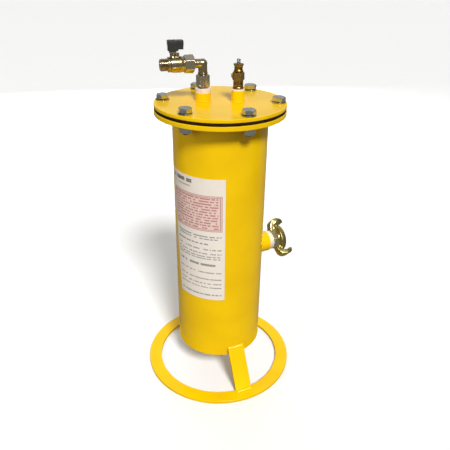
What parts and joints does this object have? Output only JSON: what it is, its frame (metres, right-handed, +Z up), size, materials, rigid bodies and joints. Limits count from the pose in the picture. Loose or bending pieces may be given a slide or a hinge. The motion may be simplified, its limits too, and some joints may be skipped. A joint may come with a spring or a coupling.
{
  "type": "compressed air line filter",
  "caption": "Free-standing painted steel filter vessel with a strainer basket, bolted cover, side claw coupling, ball valve and relief valve on a foot ring.",
  "frame": {"origin": "centre of the foot ring, on the floor", "axes": "+Z up along the vessel; +X through the two cover bosses towards the relief valve; the inlet coupling points 30 degrees round from +X towards +Y"},
  "size_m": [0.2506, 0.2506, 0.547],
  "materials": {
    "yellow_paint": "gloss",
    "zinc": "zinc plated",
    "nickel": "nickel plated, tarnished",
    "dark_brass": "aged",
    "yellow_zinc": "yellow zinc plated",
    "stainless": "satin",
    "rubber": "matte",
    "ptfe": "matte",
    "felt": "felted",
    "black_plastic": "satin",
    "paper": "matte"
  },
  "bodies": {
    "vessel": {"vessel_shell": "yellow_paint", "vessel_bottom": "yellow_paint", "body_flange": "yellow_paint", "flange_gasket": "rubber", "cover_plate": "yellow_paint", "outlet_boss": "yellow_paint", "relief_boss": "yellow_paint", "inlet_socket": "yellow_paint", "drain_socket": "yellow_paint", "drain_seal": "ptfe", "drain_plug": "zinc", "foot_ring": "yellow_paint", "leg_front": "yellow_paint", "leg_rear": "yellow_paint", "basket_seat": "yellow_paint", "basket_seal": "rubber", "basket_rim": "stainless", "basket_shell": "stainless", "basket_floor": "stainless", "filter_sleeve": "felt", "basket_bridge": "stainless", "hold_down_spring": "stainless", "claw_coupling": "yellow_zinc", "coupling_seal": "rubber", "hex_nipple": "nickel", "outlet_elbow": "nickel", "valve_body": "nickel", "valve_outlet_end": "nickel", "ball_seat_inlet": "ptfe", "ball_seat_outlet": "ptfe", "gland_nut": "nickel", "relief_body": "dark_brass", "relief_cap": "dark_brass", "relief_spring": "stainless", "data_label": "paper", "cover_bolt_1": "zinc", "cover_washer_1": "zinc", "cover_nut_1": "zinc", "cover_bolt_2": "zinc", "cover_washer_2": "zinc", "cover_nut_2": "zinc", "cover_bolt_3": "zinc", "cover_washer_3": "zinc", "cover_nut_3": "zinc", "cover_bolt_4": "zinc", "cover_washer_4": "zinc", "cover_nut_4": "zinc", "cover_bolt_5": "zinc", "cover_washer_5": "zinc", "cover_nut_5": "zinc", "cover_bolt_6": "zinc", "cover_washer_6": "zinc", "cover_nut_6": "zinc"},
    "valve_turn": {"valve_handle": "black_plastic", "handle_screw": "zinc", "valve_stem": "nickel", "valve_ball": "stainless"},
    "relief_pull": {"relief_stem": "stainless", "relief_knob": "stainless"}
  },
  "joints": [
    {"name": "valve_handle_turn", "type": "hinge", "parent": "vessel", "child": "valve_turn", "pos_m": [-0.0638, -0.01419, 0.533], "axis": [0, 0, 1], "range_deg": [-90, 0]},
    {"name": "relief_lift", "type": "slide", "parent": "vessel", "child": "relief_pull", "axis": [0, 0, 1], "range_m": [0, 0.003], "stiffness_N_per_m": 800, "springref_m": -0.002, "deforming": ["relief_spring"]}
  ]
}
